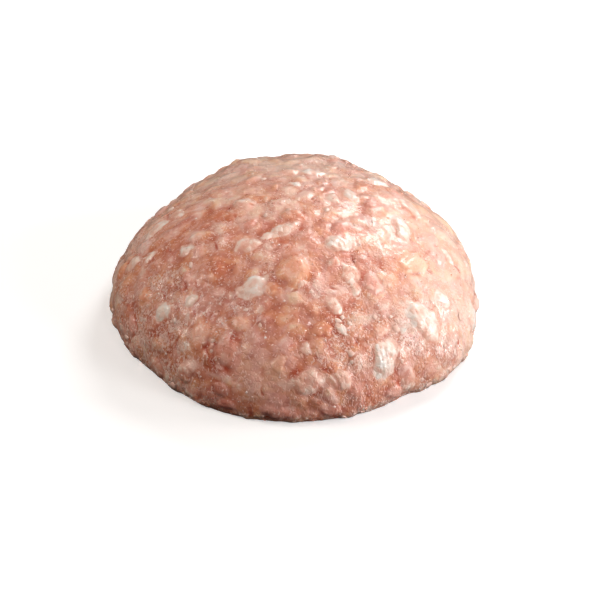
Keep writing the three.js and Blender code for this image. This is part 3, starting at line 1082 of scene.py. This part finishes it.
# The flesh's colours, from deep to pale: tone, and the colour as it looks on a screen
PINK_FLESH = (
    (0.25, (201, 121, 103)),
    (0.5, (215, 143, 124)),
    (0.7, (226, 161, 144)),
    (0.95, (238, 192, 179)),
)
PEACH_FLESH = (
    (0.25, (208, 126, 92)),
    (0.5, (225, 150, 113)),
    (0.7, (235, 170, 135)),
    (0.95, (246, 203, 172)),
)
FAT_COLOURS = (
    (0.2, (228, 168, 148)),
    (0.5, (238, 194, 175)),
    (0.75, (247, 217, 203)),
    (0.95, (250, 231, 222)),
)
PALE_PINK = (239, 202, 189)
PALE_PEACH = (243, 209, 182)
# Painted shade for sunk places
CREVICE_SHADE_RED = (196, 84, 54)
# Painted glints and edge highlights
GLINT_COLOUR = (254, 218, 204)

# Weights in the flesh's finish
TONE_BY_MOTTLE = 0.4
TONE_BY_BIT = 0.15
TONE_BY_FILM = 0.3
TONE_BY_PALE = 0.25
BLUSH_LEVEL = 0.3
BLUSH_SHARPNESS = 2.5
CREAM_SHARE = 0.75
CREVICE_SHADE_SHARE = 0.85
WHITENESS_SHARE = 0.8
WHITENESS_BY_BIT = 0.35
WHITENESS_BY_MOTTLE = 0.4
FAT_COVER = 1.3
EDGE_HIGHLIGHT_SHARE = 0.5
GLINT_SHARE = 0.82
LEAST_ROUGHNESS = 0.26
ROUGHNESS_BY_MOTTLE = 0.22
FINE_BUMP = 0.35
BIT_BUMP = 0.5


def make_flesh(tissue, bits):
    material, tree, shader = new_material("raw_minced_flesh")
    small = place_group(tree, bits, {"Bits per metre": 420.0, "Wander": 0.0025})
    fine = place_group(tree, tissue, {"Threads per metre": 560.0, "Thread width": 0.1})
    fibrous = add_value(tree, "fibrous")
    pale = add_value(tree, "pale")
    connect(tree, fibrous, fine.inputs["Speck share"])
    mottle = add_maths(tree, "SUBTRACT", fine.outputs["Mottle"], 0.5)
    bit = add_maths(tree, "SUBTRACT", small.outputs["Draw"], 0.5)

    tone = add_weighted(
        tree,
        add_value(tree, "tone"),
        (mottle, TONE_BY_MOTTLE),
        (bit, TONE_BY_BIT),
        (add_value(tree, "film"), TONE_BY_FILM),
        (pale, TONE_BY_PALE),
    )
    blush = add_maths(tree, "SUBTRACT", add_value(tree, "blush"), BLUSH_LEVEL)
    blush = add_maths(tree, "MULTIPLY", blush, BLUSH_SHARPNESS, clamp=True)
    colour = add_mix(tree, blush, add_ramp(tree, tone, PINK_FLESH), add_ramp(tree, tone, PEACH_FLESH))
    # The pale value, partly painted light and shade, lifts the tone and mixes in pale flesh
    cream = add_maths(tree, "MULTIPLY", pale, CREAM_SHARE, clamp=True)
    pale_flesh = add_mix(tree, blush, paint(*PALE_PINK), paint(*PALE_PEACH))
    colour = add_mix(tree, cream, colour, pale_flesh)
    # Painted shade: deep red where the skin is sunk
    crevice = add_maths(tree, "MULTIPLY", add_value(tree, "crevice"), CREVICE_SHADE_SHARE, clamp=True)
    colour = add_mix(tree, crevice, colour, paint(*CREVICE_SHADE_RED))

    fat = add_value(tree, "fat")
    whiteness = add_weighted(
        tree,
        add_maths(tree, "MULTIPLY", fat, WHITENESS_SHARE),
        (bit, WHITENESS_BY_BIT),
        (mottle, WHITENESS_BY_MOTTLE),
    )
    covered = add_maths(tree, "MULTIPLY", fat, FAT_COVER, clamp=True)
    colour = add_mix(tree, covered, colour, add_ramp(tree, whiteness, FAT_COLOURS))
    # Painted highlights: glints on threads and specks
    painted_highlights = add_maths(tree, "MAXIMUM", fine.outputs["Threads"], fine.outputs["Specks"])
    # Painted highlight along flake outlines
    edge_highlight = add_maths(tree, "MULTIPLY", add_value(tree, "edge_highlight"), EDGE_HIGHLIGHT_SHARE)
    painted_highlights = add_maths(tree, "MULTIPLY", add_maths(tree, "MAXIMUM", painted_highlights, edge_highlight), GLINT_SHARE)
    colour = add_mix(tree, painted_highlights, colour, paint(*GLINT_COLOUR))
    connect(tree, colour, shader.inputs["Base Color"])

    set_wet(
        shader, LEAST_ROUGHNESS, coat=0.6, scatter=(1.0, 0.88, 0.82), scatter_scale=0.0035, weight=1.0
    )
    rough = add_maths(tree, "MULTIPLY", fine.outputs["Mottle"], ROUGHNESS_BY_MOTTLE)
    connect(tree, add_maths(tree, "ADD", LEAST_ROUGHNESS, rough), shader.inputs["Roughness"])
    fibre = add_maths(tree, "ADD", FINE_BUMP, fibrous)
    height = add_maths(tree, "MULTIPLY", fine.outputs["Height"], fibre)
    height = add_weighted(tree, height, (small.outputs["Height"], BIT_BUMP))
    add_bump(tree, shader, height, strength=0.65, distance=0.0004)
    return material


QUALITY_BY_MOTTLE = 0.3
FULL_QUALITY = 0.15


def make_bit_finish(name, tissue, pale, full):
    """A wet finish for small bits, each between two colours by its own draw."""
    material, tree, shader = new_material(name)
    fine = place_group(
        tree, tissue, {"Threads per metre": 900.0, "Thread width": 0.1, "Speck share": 0.3}
    )
    mottle = (fine.outputs["Mottle"], QUALITY_BY_MOTTLE)
    quality = add_weighted(tree, add_value(tree, "quality"), mottle)
    quality = add_maths(tree, "SUBTRACT", quality, FULL_QUALITY, clamp=True)
    connect(tree, add_mix(tree, quality, paint(*full), paint(*pale)), shader.inputs["Base Color"])
    set_wet(
        shader, roughness=0.3, coat=0.3, scatter=(1.0, 0.8, 0.7), scatter_scale=0.0004, weight=0.0
    )
    add_bump(tree, shader, fine.outputs["Height"], strength=0.3, distance=0.0003)
    return material


def make_juice():
    material, _, shader = new_material("clear_meat_juice")
    shader.inputs["Base Color"].default_value = paint(252, 228, 216)
    shader.inputs["Roughness"].default_value = 0.04
    shader.inputs["IOR"].default_value = JUICE_IOR
    shader.inputs["Transmission Weight"].default_value = 0.9
    return material


# The studio

CAMERA_DISTANCE = 0.75
CAMERA_ELEVATION = 37.4
CAMERA_LENS = 120.0
SENSOR_WIDTH = 36.0
LOOK_AT = (0.00195, 0.0, 0.0028)
LIGHTS_AIM = (0.0, 0.0, 0.02)
FLOOR_HALF = 6.0
FLOOR_GREY = (0.86, 0.86, 0.86, 1.0)
WHITE = (1.0, 1.0, 1.0, 1.0)
LIGHT_BELOW = (0.026, 0.02, 0.018, 1.0)
LIGHT_ABOVE = (0.118, 0.1, 0.096, 1.0)
HORIZON_SHARPNESS = 2.5


def from_side(bearing, elevation, distance):
    """A point at that distance from the mound, seen at a bearing from the front and an elevation."""
    turn, angle = math.radians(bearing), math.radians(elevation)
    level = distance * math.cos(angle)
    return Vector((level * math.sin(turn), -level * math.cos(turn), distance * math.sin(angle)))


def aim(thing, point):
    thing.rotation_euler = (Vector(point) - thing.location).to_track_quat("-Z", "Y").to_euler()


def make_camera():
    camera = bpy.data.objects.new("camera", bpy.data.cameras.new("camera"))
    camera.data.lens = CAMERA_LENS
    camera.data.sensor_width = SENSOR_WIDTH
    camera.data.clip_start = 0.01
    camera.location = Vector(LOOK_AT) + from_side(0.0, CAMERA_ELEVATION, CAMERA_DISTANCE)
    aim(camera, LOOK_AT)
    bpy.context.scene.collection.objects.link(camera)
    bpy.context.scene.camera = camera


def make_softbox(name, bearing, elevation, distance, size, power, colour=(1.0, 1.0, 1.0)):
    light = bpy.data.lights.new(name, "AREA")
    light.shape = "DISK"
    light.size = size
    light.energy = power
    light.color = colour
    lamp = bpy.data.objects.new(name, light)
    lamp.location = from_side(bearing, elevation, distance)
    aim(lamp, LIGHTS_AIM)
    bpy.context.scene.collection.objects.link(lamp)


def make_floor():
    mesh = bpy.data.meshes.new("floor")
    corners = [(x * FLOOR_HALF, y * FLOOR_HALF, 0) for x, y in ((-1, -1), (1, -1), (1, 1), (-1, 1))]
    mesh.from_pydata(corners, [], [(0, 1, 2, 3)])
    floor = bpy.data.objects.new("floor", mesh)
    material, _, shader = new_material("pale_floor")
    shader.inputs["Base Color"].default_value = FLOOR_GREY
    shader.inputs["Roughness"].default_value = 0.9
    shader.inputs["Specular IOR Level"].default_value = 0.0
    shader.inputs["Emission Color"].default_value = WHITE
    shader.inputs["Emission Strength"].default_value = 0.35
    mesh.materials.append(material)
    floor.visible_diffuse = False
    floor.visible_glossy = False
    bpy.context.scene.collection.objects.link(floor)


def make_world():
    """Soft light from above, little from below, and a white backdrop."""
    world = bpy.data.worlds.new("studio")
    world.use_nodes = True
    bpy.context.scene.world = world
    tree = world.node_tree
    background = tree.nodes["Background"]
    height = add_node(tree, "ShaderNodeSeparateXYZ")
    connect(tree, add_node(tree, "ShaderNodeTexCoord").outputs["Generated"], height.inputs[0])
    share = add_maths(tree, "MULTIPLY", height.outputs["Z"], HORIZON_SHARPNESS)
    light = add_mix(tree, add_maths(tree, "ADD", share, 0.5, clamp=True), LIGHT_BELOW, LIGHT_ABOVE)
    seen = add_node(tree, "ShaderNodeLightPath").outputs["Is Camera Ray"]
    connect(tree, add_mix(tree, seen, light, WHITE), background.inputs["Color"])


def make_studio():
    make_camera()
    make_floor()
    make_world()
    make_softbox("key", 88, 13, 1.1, 0.5, 9.1)
    make_softbox("front_right", 58, 20, 1.1, 0.45, 5.5)
    make_softbox("back", 150, 38, 1.1, 0.45, 6.0)
    make_softbox("left", -85, 42, 1.1, 0.5, 5.3, (1.0, 0.935, 0.85))
    make_softbox("glint_left", -40, 50, 1.0, 0.08, 0.3)
    make_softbox("glint_right", 35, 60, 1.0, 0.08, 0.4)
    scene = bpy.context.scene
    scene.view_settings.view_transform = "Standard"
    scene.cycles.use_denoising = True


def make_mound():
    tissue = make_tissue_group()
    scraps = all_scraps()
    skin = make_skin(scraps)
    faces = close_underside(skin.faces, skin.foot, len(skin.points))
    points = np.vstack([skin.points, np.zeros(3)])
    values = {name: np.append(value, 0.5) for name, value in skin.values.items()}
    mass = make_mesh("mince_mass", points, faces, values)
    dress(mass, make_flesh(tissue, make_bits_group()))
    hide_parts(NODE)

    chance = np.random.default_rng(SEED)
    fibrous = skin.values["fibrous"]
    crevice = CREVICE_BEADS * skin.values["crevice"]
    bare = 1.0 - np.clip(skin.values["fat"], 0.0, 1.0)
    foot = np.exp(-((skin.points[:, 2] / FOOT_BAND) ** 2))
    sinew = make_bit_finish("pale_wet_sinew", tissue, (252, 230, 222), (240, 184, 164))
    fat = make_bit_finish("soft_cream_fat", tissue, (248, 218, 204), (234, 186, 166))
    lean = make_bit_finish("wet_lean_meat", tissue, (234, 198, 184), (218, 162, 144))
    for kind, weight, material, slot in (
        (GRANULES, PLAIN_GRANULES + fibrous * bare, sinew, "sinew"),
        (FAT_CRUMBS, bare * (PLAIN_CRUMBS + fibrous), fat, "fat"),
        (LEAN_SCRAPS, bare * foot, lean, "lean_meat"),
        (JUICE_BEADS, foot + PLAIN_BEADS + crevice, make_juice(), "juice"),
    ):
        dress(make_mesh(kind.name, *make_bits(skin, kind, weight, chance)), material)


make_studio()
make_mound()
